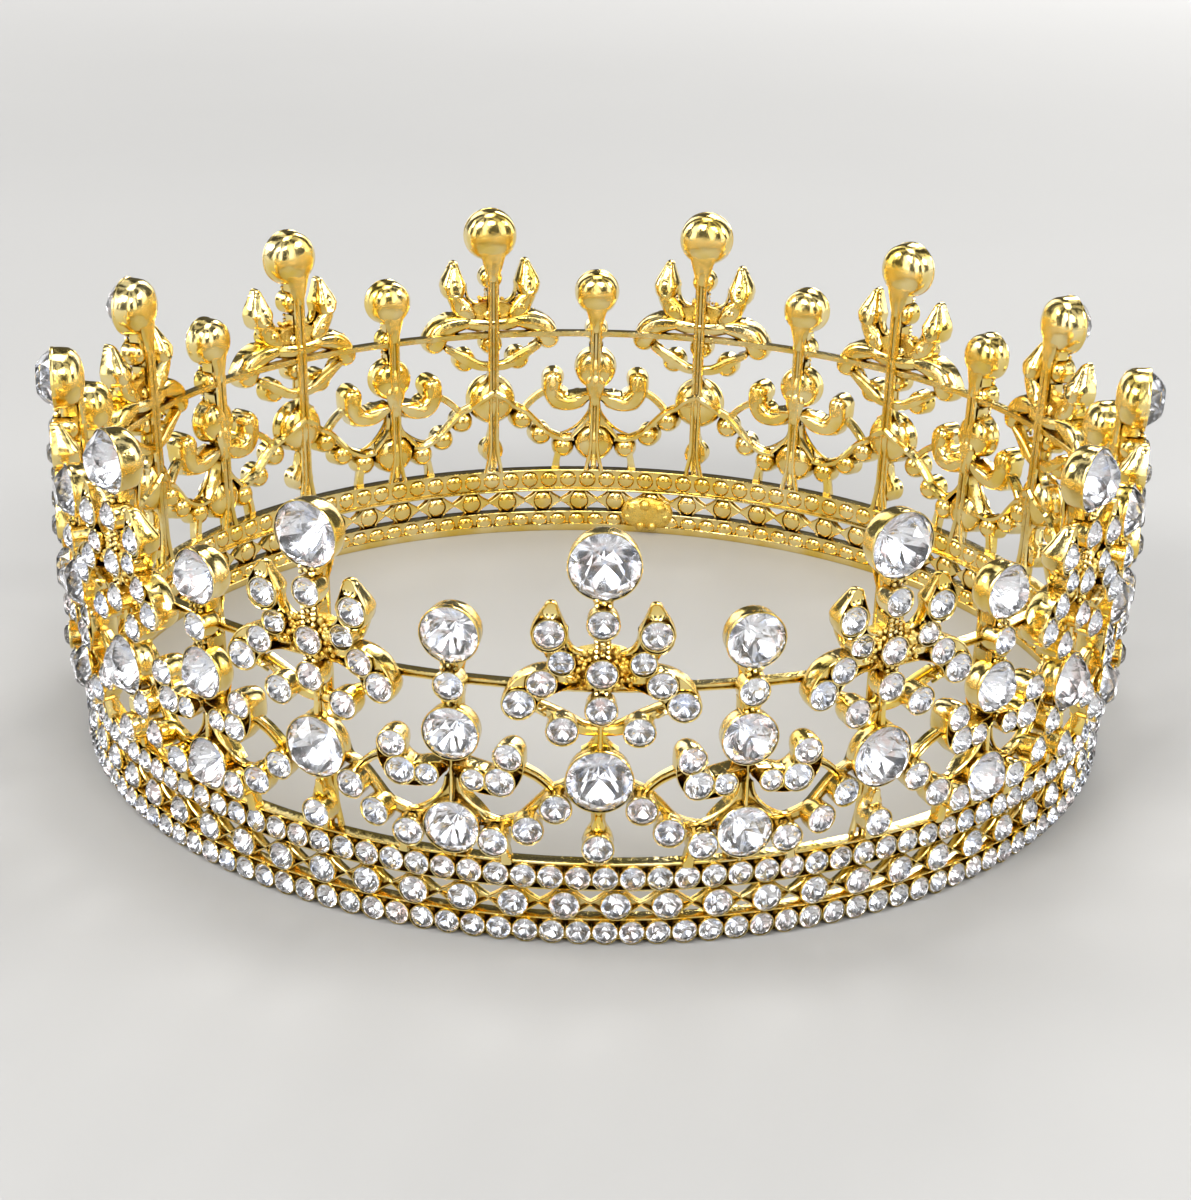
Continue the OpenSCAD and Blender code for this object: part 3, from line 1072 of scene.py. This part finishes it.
@dataclass
class TallMotif(Motif):
    """A tall motif: a stone on a stem, two leaves, two arms, a crescent and a drop.

    The fields from centre to swag are stones, as across, up and radius, and those from leaf
    to crescent are spines, as across, up and half width. Those of one side are mirrored.
    """

    name: str = "tall"
    first: float = 0.0
    stem_top: float = 48.6
    stretches: tuple[Point, ...] = ((FOOT_Y, 19.7), (26.2, 47.3))
    links: tuple[Point, ...] = ((46.1, 1.1), (40.9, 0.95), (39.6, 1.0), (34.9, 0.85))
    top: Stone = (0, 50.6, 4.05)
    junction: Stone = (0, 22.9, 3.85)
    centre: tuple[Stone, ...] = ((0, 43.5, SMALL), (0, 37.2, SMALL), (0, 32.5, SMALL),
                                 (0, 14.1, SMALL))
    side: tuple[Stone, ...] = ((6.2, 42.2, SMALL), (4.75, 38.6, 1.45), (7.0, 35.9, 1.65),
                               (9.6, 33.2, 1.8), (4.5, 29.8, SMALL))
    swag: tuple[Stone, ...] = ((5.1, 19.4, SMALL), (8.4, 16.5, SMALL))
    leaf: tuple[Stone, ...] = ((6.2, 41.9, 2.1), (6.2, 42.4, 2.2), (6.2, 43.2, 1.98),
                               (6.12, 44.2, 1.5), (6.05, 45.0, 1.12), (6.0, 45.6, 0.82))
    arm: tuple[Stone, ...] = ((3.4, 36.4, 1.1), (5.0, 36.35, 1.45), (7.0, 35.9, 1.85),
                              (8.6, 34.9, 2.05), (9.6, 33.2, 2.12))
    crescent: tuple[Stone, ...] = ((2.2, 29.1, 0.8), (4.4, 30.2, 0.95), (6.2, 31.3, 0.72),
                                   (7.6, 32.1, 0.55))

    def sets(self) -> list[StoneSet]:
        """The motif's stones, piece by piece, in the order in which they are built."""
        return [
            StoneSet("tall_small_stones", self.centre + both_sides(self.side), SMALL_SET,
                     ("tall_motif_stones",)),
            StoneSet("tall_swag_stones", both_sides(self.swag), SMALL_SET),
            StoneSet("tall_top_stones", (self.top,), TOP_SET, numbered("tall_top_stone")),
            StoneSet("junction_stones", (self.junction,), LARGE_SET,
                     numbered("junction_stone"))]

    def leaf_dish(self) -> list[Point]:
        """Draws the dish between a leaf's stone and its tip.

        Returns:
            The dish's outline, round the tip and back along the stone's cup.
        """
        tip = [(7.46, 44.3), (7.1, 45.0), (6.66, 46.0), (6.0, 46.37), (5.34, 46.0),
               (5.0, 45.0), (4.78, 44.3)]
        x, y, _ = self.side[0]
        cup_r = 1.92
        around = [math.radians(a) for a in range(145, 34, -10)]
        return tip + [(x + cup_r * math.cos(a), y + cup_r * math.sin(a)) for a in around]

    def add_leaf(self) -> None:
        """Adds the right leaf: a shell that thins to its tip, its dish and its tip's rim."""
        front = GIRDLE_D + 0.1
        self.form.hull(self.leaf, shell(front))
        self.form.thinned(42.6, 46.4, 0.35, front)
        self.form.plate(self.leaf_dish(), 2.9, 3.1, 0.05)
        self.form.hull([(6.12, 45.05, 1.05), (6.06, 45.35, 0.93), (6.0, 45.65, 0.74)],
                       ((2.95, 0.9), (3.3, 1.0), (3.66, 1.0), (3.7, 0.94), (3.5, 0.8),
                        (3.34, 0.55), (3.28, 0.25)), 3)

    def add_arm(self) -> None:
        """Adds the right arm: a shell, its two fins and the bar to the middle."""
        self.form.hull(self.arm, shell(GIRDLE_D + 0.05))
        self.form.plate([(8.3, 37.2), (8.75, 36.7), (8.95, 35.9), (9.0, 35.25), (9.6, 35.3),
                         (10.4, 35.1), (11.05, 34.6), (10.7, 35.6), (9.8, 36.6)],
                        1.9, 3.5, 0.06)
        self.form.plate([(6.3, 34.15), (7.4, 33.5), (8.1, 34.4), (7.6, 34.1), (7.0, 33.95)],
                        1.9, 3.4, 0.05)
        self.form.bar([(2.5, 36.2, 2.4, 0.8, 0.6), (3.9, 36.3, 2.65, 0.95, 0.7),
                       (5.25, 36.4, 2.6, 0.95, 0.6)], 3)

    def add_ties(self) -> None:
        """Adds the leaf's wire and taper, and the crossed wires on the crescent's tip."""
        self.form.bar([(4.25, 42.6, 2.6, 0.3, 0.9), (4.1, 41.0, 2.5, 0.3, 0.9),
                       (3.3, 39.8, 2.4, 0.3, 0.8), (1.7, 39.3, 2.4, 0.3, 0.7)], 4)
        self.form.hull([(6.1, 40.4, 1.3), (4.75, 38.6, 1.6), (3.6, 37.6, 1.2)],
                       ((0.5, 0.5), (0.8, 0.8), (1.3, 1.0), (2.0, 0.95), (2.4, 0.7)), cap=6)
        for lift in (-0.3, 0.3):
            self.form.bar([(6.5, 31.7 + lift, 2.4 - lift, 0.24, 0.24),
                           (7.3, 32.1, 3.0, 0.26, 0.26),
                           (8.0, 32.6 - lift, 2.8 + lift, 0.24, 0.24)], 4)

    def add_side(self) -> None:
        """Adds the right leaf, the right arm and what ties them together."""
        self.add_leaf()
        self.add_arm()
        self.add_ties()

    def add_crescent(self) -> None:
        """Adds the crescent, and the bar behind that joins the two arms."""
        left = [(-x, y, w) for x, y, w in self.crescent[::-1]]
        self.form.hull([*left, (0, 28.9, 0.72), *self.crescent],
                       ((0.1, 0.55), (0.25, 0.85), (0.7, 1.0), (1.5, 1.0), (1.8, 0.8),
                        (1.95, 0.4)))
        self.form.bar([(-5.2, 36.6, 0.9, 0.8, 0.5), (-2.6, 36.2, 0.3, 0.9, 0.5),
                       (0, 36.0, 0.2, 0.9, 0.5), (2.6, 36.2, 0.3, 0.9, 0.5),
                       (5.2, 36.6, 0.9, 0.8, 0.5)], 3)

    def add_drop(self) -> None:
        """Adds the drop over the lowest stone: its taper, its cap and its front bar."""
        self.form.hull([(0, 14.2, 1.95), (0, 15.4, 1.6), (0, 16.3, 1.05), (0, 17.3, 0.75),
                        (0, 18.6, 0.6)],
                       ((0.4, 0.6), (0.8, 0.9), (1.4, 1.0), (2.0, 0.95), (2.25, 0.7)), 3, 6)
        self.form.hull([(0, 16.55, 0.9), (0, 17.2, 0.66), (0, 18.0, 0.5)],
                       ((1.5, 0.9), (2.4, 1.0), (2.9, 0.85), (3.1, 0.5)), 3, 6)
        self.form.bar([(0, 16.7, 2.9, 0.34, 0.4), (0, 17.6, 2.6, 0.34, 0.5),
                       (0, 18.85, 2.45, 0.34, 0.6)], 2)

    def add_middle(self) -> None:
        """Adds the crescent, the stem, the flare over the junction stone and the drop."""
        self.add_crescent()
        self.add_stem()
        self.add_neck(self.top, 6.6)
        self.form.plate(flare([(-2.2, 25.7), (2.2, 25.7)], [
            (2.2, 26.2), (1.35, 26.8), (0.85, 27.6), (0.6, 28.6), (0.5, 29.6)]), 0.2, 1.9, 0.2)
        self.form.bar([(0, 26.95, 2.5, 0.34, 0.45), (0, 28.4, 2.4, 0.32, 0.45),
                       (0, 30.8, 2.3, 0.32, 0.45)], 2)
        self.add_drop()
        self.add_links()

    def web(self) -> Form:
        """Builds the grained web between the centre stone, the leaves and the arms.

        Returns:
            The web in the motif's plane.
        """
        rng = random.Random("web")
        form = Form()
        form.plate([(-4.6, 38.2), (-4.4, 35.4), (-2.6, 34.9), (0, 35.2), (2.6, 34.9),
                    (4.4, 35.4), (4.6, 38.2), (2.6, 39.4), (0, 40.0), (-2.6, 39.4)],
                   0.4, 2.2, 0.3)
        # Grains that fall on a cup or past the web's slanted corners are left out
        cups = ((0, 37.2, 2.15), (0, 32.5, 2.15), (4.75, 38.6, 1.85))
        for count in range(330):
            x, y = rng.uniform(-4.6, 4.6), rng.uniform(34.9, 40.1)
            clear = all(math.hypot(abs(x) - cup_x, y - cup_y) > r for cup_x, cup_y, r in cups)
            if clear and abs(x) + abs(y - 37.4) * 1.2 < 5.2:
                # Three layers of grains, each laid on the one before
                low = 2.15 if count < 130 else 2.7 if count < 230 else 3.1
                form.nugget((x, y, low + rng.uniform(0, 0.4)), rng.uniform(0.28, 0.46), 0.9)
        return form

    def build_webs(self, places: Sequence[Matrix]) -> None:
        """Builds the grained webs."""
        webs = Form().add(self.web(), places)
        webs.finished("tall_motif_webs", [self.finishes.grained], crease=60)


@dataclass
class ShortMotif(Motif):
    """A short motif: three large stones on a stem, two curls and the swag's low end."""

    name: str = "short"
    first: float = 0.5
    stem_top: float = 39.2
    stretches: tuple[Point, ...] = ((FOOT_Y, 13.2), (17.9, 25.6), (30.4, 38.0))
    links: tuple[Point, ...] = ((32.0, 1.0), (36.9, 1.1))
    top: Stone = (0, 40.8, 3.4)
    upper: Stone = (0, 28.0, 3.25)
    lower: Stone = (0, 15.5, 3.25)
    centre: tuple[Stone, ...] = ((0, 34.4, SMALL),)
    side: tuple[Stone, ...] = ((7.1, 26.0, 1.65), (6.1, 22.6, SMALL), (2.85, 22.5, 1.35),
                               (5.25, 14.4, SMALL))
    curl: tuple[Stone, ...] = ((0.9, 23.6, 0.7), (2.85, 22.6, 1.5), (4.6, 22.2, 1.6),
                               (6.2, 22.7, 1.85), (7.2, 24.2, 1.75), (7.15, 26.0, 1.9))

    def sets(self) -> list[StoneSet]:
        """The motif's stones, piece by piece, in the order in which they are built."""
        return [
            StoneSet("short_small_stones", self.centre + both_sides(self.side), SMALL_SET),
            StoneSet("short_top_stones", (self.top,), TOP_SET, numbered("short_top_stone")),
            StoneSet("short_upper_large_stones", (self.upper,), LARGE_SET,
                     ("short_upper_stones",)),
            StoneSet("short_lower_large_stones", (self.lower,), LARGE_SET,
                     ("short_lower_stones",))]

    def add_side(self) -> None:
        """Adds the right curl with its fin, the post under the swag's end and its scroll."""
        self.form.hull(self.curl, shell(GIRDLE_D - 0.1), 5)
        self.form.plate([(4.35, 21.2), (4.6, 22.0), (4.4, 23.6), (3.9, 23.4), (4.05, 22.4),
                         (3.9, 21.4)], 1.9, 3.4, 0.05)
        self.form.bar([(5.8, 14.2, 1.6, 0.6, 1.0), (6.2, 12.4, 1.5, 0.55, 0.9),
                       (6.4, 10.7, 1.4, 0.7, 0.8)], 3, Section.FLAT)
        self.form.bar([(0.72, 22.0, 2.55, 0.2, 0.3), (1.05, 20.4, 2.6, 0.22, 0.3),
                       (1.95, 19.0, 2.5, 0.24, 0.3), (3.2, 17.85, 2.2, 0.24, 0.3),
                       (4.6, 17.0, 1.95, 0.22, 0.3), (5.6, 16.7, 1.8, 0.2, 0.25)], 3)

    def add_middle(self) -> None:
        """Adds the stem, the flare over the lower stone, its front bar and the links."""
        self.add_stem()
        self.add_neck(self.top, 5.6)
        self.add_neck(self.upper, 5.2)
        self.form.plate(flare(
            [(-3.7, 16.2), (-1.8, 18.2), (0, 18.75), (1.8, 18.2), (3.7, 16.2)],
            [(4.0, 16.6), (3.0, 17.8), (1.9, 18.9), (1.15, 20.2), (0.9, 21.8)]), 0.1, 2.2, 0.1)
        self.form.bar([(0, 19.0, 2.75, 0.34, 0.5), (0, 21.5, 2.6, 0.34, 0.5),
                       (0, 24.5, 2.55, 0.34, 0.5)], 2)
        self.form.plate([(-1.0, 31.0), (1.0, 31.0), (1.2, 32.6), (-1.2, 32.6)], 0.2, 2.0, 0.2)
        self.add_links()


@dataclass
class Swag:
    """The rails that hang from the tall motifs' middle stones to the short motifs' feet."""

    finishes: Finishes

    def stations(self, spots: Sequence[tuple[Matrix, float, float]], z: float, wide: float,
                 deep: float, lift: float = 0.0) -> list[Station]:
        """Turns places in the motifs' planes into a bar's stations on the wall.

        Args:
            spots: A motif's place, and the bar's place across and up in its plane.
            z: How far out the bar lies.
            wide: Half of its width.
            deep: Half of its depth.
            lift: How far above the spots it runs.

        Returns:
            The stations in the crown's own frame.
        """
        return [(*(place @ Vector((x, y + lift, z))), wide, deep) for place, x, y in spots]

    def build(self) -> None:
        """Builds the rails and the curved rods above them."""
        tall, short = on_wall(0), on_wall(PITCH / 2)
        form = Form()
        rail = [(tall, 3.6, 21.9), (tall, 5.5, 20.9), (tall, 7.3, 19.1), (tall, 8.9, 17.4),
                (short, -6.9, 16.5), (short, -5.2, 16.0), (short, -3.4, 16.2)]
        rod = [(short, -7.3, 24.4), (short, -8.7, 23.8), (tall, 7.3, 22.9), (tall, 5.9, 21.6),
               (tall, 5.2, 20.6)]
        behind = (self.stations([(tall, 0.1, 24.6)], -0.3, 0.6, 0.5)
                  + self.stations([(tall, 1.9, 23.5)], -0.2, 0.6, 0.5))
        form.bar(behind + self.stations(rail, 1.2, 0.6, 0.8), 4, radial=True)
        for lift in (-0.5, 0.5):
            form.bar(self.stations(rail, 1.9, 0.18, 0.3, lift), 3, radial=True)
        for lift in (-0.36, 0.36):
            form.bar(self.stations(rod, 2.1, 0.27, 0.5, lift), 4, radial=True)
        form.bar(self.stations(rod, 1.6, 0.5, 0.6), 4, Section.FLAT, radial=True)
        form.mirrored()
        turns = [Matrix.Rotation(i * PITCH, 4, "Z") for i in range(MOTIFS)]
        Form().add(form, turns).finished("swag_rails", [self.finishes.gold])


@dataclass
class SolderPlate:
    """The lump of solder over the joint inside the back of the band."""

    finishes: Finishes
    angle: float = math.radians(180 - 7.6)
    # Across, up and radius of each bead, and the height over which they are flatter
    beads: tuple[Stone, ...] = (
        (-0.95, 1.35, 0.95), (0.95, 1.35, 0.95), (0.9, 2.9, 0.8), (-0.8, 3.2, 0.75),
        (-2.3, 4.6, 1.2), (0.3, 5.0, 1.3), (2.5, 4.4, 1.2), (-3.1, 3.0, 1.0),
        (3.2, 2.8, 1.0))
    flat_from: float = 2.0

    def build(self) -> None:
        """Builds the plate and its beads."""
        form = Form()
        form.hull([(-1.9, 3.5, 2.5), (0, 3.6, 2.8), (1.9, 3.5, 2.5)],
                  ((-0.8, 0.3), (-0.75, 0.55), (-0.55, 0.8), (-0.25, 0.95), (0.1, 1.0),
                   (0.4, 1.0)), cap=10)
        for x, y, r in self.beads:
            form.nugget((x, y, -0.35), r, 0.8 if y < self.flat_from else 0.6)
        place = (Matrix.Rotation(self.angle, 4, "Z") @ Matrix.Translation((0, -BAND_R, 0))
                 @ Matrix.Rotation(math.pi / 2, 4, "X"))
        Form().add(form, [place]).finished("solder_plate", [self.finishes.grained], crease=60)


@dataclass(frozen=True)
class Softbox:
    """A square softbox: its place in metres, the length of its side and its watts."""

    name: str
    spot: Stone
    size: float
    power: float


@dataclass
class Studio:
    """The floor, the lights and the camera."""

    # The camera, with the crown's place to its right, ahead of it and above it, in units
    pitch: float = math.radians(22.294)
    yaw: float = math.radians(0.731)
    roll: float = math.radians(1.325)
    lens: float = 81.22
    unit: float = 0.072
    shift: Stone = (0.000397, 5.43908, -0.202575)
    # The number of bright panels round the crown, where a panel's soft edge starts and ends
    # as a sine, and the light beside a panel and on it
    panels: float = 7.0
    panel_edge: Point = (0.15, 0.45)
    panel_light: Point = (0.04, 1.0)
    # Where the panels fade out overhead as the sine of the height, and what is left there
    roof_edge: Point = (0.55, 0.72)
    roof_light: float = 0.35
    strength: float = 2.3
    sky: str = "#F6F6F6"
    backdrop: str = "#C8C7C5"
    floor_r: float = 6.0
    aim: Stone = (0, 0, 0.03)
    boxes: tuple[Softbox, ...] = (
        Softbox("key_softbox", (-0.55, -0.75, 0.85), 0.4, 8),
        Softbox("front_softbox", (0.35, -0.95, 0.9), 0.4, 6),
        Softbox("right_softbox", (0.95, -0.1, 0.6), 0.3, 4),
        Softbox("left_softbox", (-1.0, 0.1, 0.6), 0.3, 3.5),
        Softbox("top_softbox", (0.0, 0.15, 1.1), 0.5, 4),
        Softbox("back_softbox", (0.3, 0.95, 0.65), 0.3, 4))

    def add_camera(self) -> None:
        """Puts the camera where the photograph was taken from."""
        level = (Matrix.Rotation(-self.yaw, 4, "Z")
                 @ Matrix.Rotation(math.pi / 2 - self.pitch, 4, "X"))
        right, ahead, up = self.shift
        spot = level @ Vector((right, up, -ahead)) * -self.unit
        data = bpy.data.cameras.new("camera")
        data.lens = self.lens
        data.sensor_fit = "HORIZONTAL"
        data.sensor_width = 36.0
        data.clip_start = 0.01
        camera = bpy.data.objects.new("camera", data)
        camera.matrix_world = (Matrix.Translation(spot) @ level
                               @ Matrix.Rotation(self.roll, 4, "Z"))
        bpy.context.scene.collection.objects.link(camera)
        bpy.context.scene.camera = camera

    def add_light(self, box: Softbox) -> None:
        """Adds a softbox that faces the crown.

        Args:
            box: The softbox.
        """
        data = bpy.data.lights.new(box.name, "AREA")
        data.shape = "SQUARE"
        data.size = box.size
        data.energy = box.power
        light = bpy.data.objects.new(box.name, data)
        aim = Vector(self.aim) - Vector(box.spot)
        light.matrix_world = (Matrix.Translation(box.spot)
                              @ aim.to_track_quat("-Z", "Y").to_matrix().to_4x4())
        bpy.context.scene.collection.objects.link(light)

    def add_floor(self) -> None:
        """Lays the paper floor."""
        form = Form()
        bmesh.ops.create_circle(form.bm, cap_ends=True, segments=96, radius=self.floor_r)
        mesh = bpy.data.meshes.new("floor")
        form.bm.to_mesh(mesh)
        form.bm.free()
        mesh.materials.append(FloorPaper().make())
        floor = bpy.data.objects.new("floor", mesh)
        bpy.context.scene.collection.objects.link(floor)

    def add_world(self) -> None:
        """Hangs bright panels round the crown, with plain paper for the camera to see."""
        world = bpy.data.worlds.new("studio")
        world.use_nodes = True
        tree = world.node_tree
        tree.nodes.clear()
        output = add_node(tree, "ShaderNodeOutputWorld")
        way = add_node(tree, "ShaderNodeSeparateXYZ", {
            "Vector": add_node(tree, "ShaderNodeTexCoord").outputs["Generated"]})
        turn = add_node(tree, "ShaderNodeMath", {0: way.outputs["Y"], 1: way.outputs["X"]},
                        operation="ARCTAN2")
        often = add_node(tree, "ShaderNodeMath", {0: turn.outputs["Value"], 1: self.panels},
                         operation="MULTIPLY")
        wave = add_node(tree, "ShaderNodeMath", {0: often.outputs["Value"]}, operation="SINE")
        panel = add_node(tree, "ShaderNodeMapRange", {
            "Value": wave.outputs["Value"], "From Min": self.panel_edge[0],
            "From Max": self.panel_edge[1], "To Min": self.panel_light[0],
            "To Max": self.panel_light[1]})
        height = add_node(tree, "ShaderNodeMapRange", {
            "Value": way.outputs["Z"], "From Min": self.roof_edge[0],
            "From Max": self.roof_edge[1], "To Min": 1.0, "To Max": self.roof_light})
        light = add_node(tree, "ShaderNodeMath", {
            0: panel.outputs["Result"], 1: height.outputs["Result"]}, operation="MULTIPLY")
        power = add_node(tree, "ShaderNodeMath", {
            0: light.outputs["Value"], 1: self.strength}, operation="MULTIPLY")
        sky = add_node(tree, "ShaderNodeBackground", {
            "Color": srgb(self.sky), "Strength": power.outputs["Value"]})
        paper = add_node(tree, "ShaderNodeBackground", {"Color": srgb(self.backdrop)})
        seen = add_node(tree, "ShaderNodeLightPath").outputs["Is Camera Ray"]
        whole = add_node(tree, "ShaderNodeMixShader", {
            0: seen, 1: sky.outputs["Background"], 2: paper.outputs["Background"]})
        tree.links.new(whole.outputs["Shader"], output.inputs["Surface"])
        bpy.context.scene.world = world

    def build(self) -> None:
        """Sets the whole stage."""
        self.add_floor()
        self.add_world()
        bpy.context.scene.view_settings.view_transform = "Standard"
        for box in self.boxes:
            self.add_light(box)
        self.add_camera()


def main() -> None:
    """Builds the crown and its stage."""
    logging.basicConfig(level=logging.INFO, format="%(name)s: %(message)s")
    finishes = Finishes.make()
    for part in (Band, WireStrip, TallMotif, ShortMotif, Swag, SolderPlate):
        part(finishes).build()
    Studio().build()


if __name__ == "__main__":
    main()
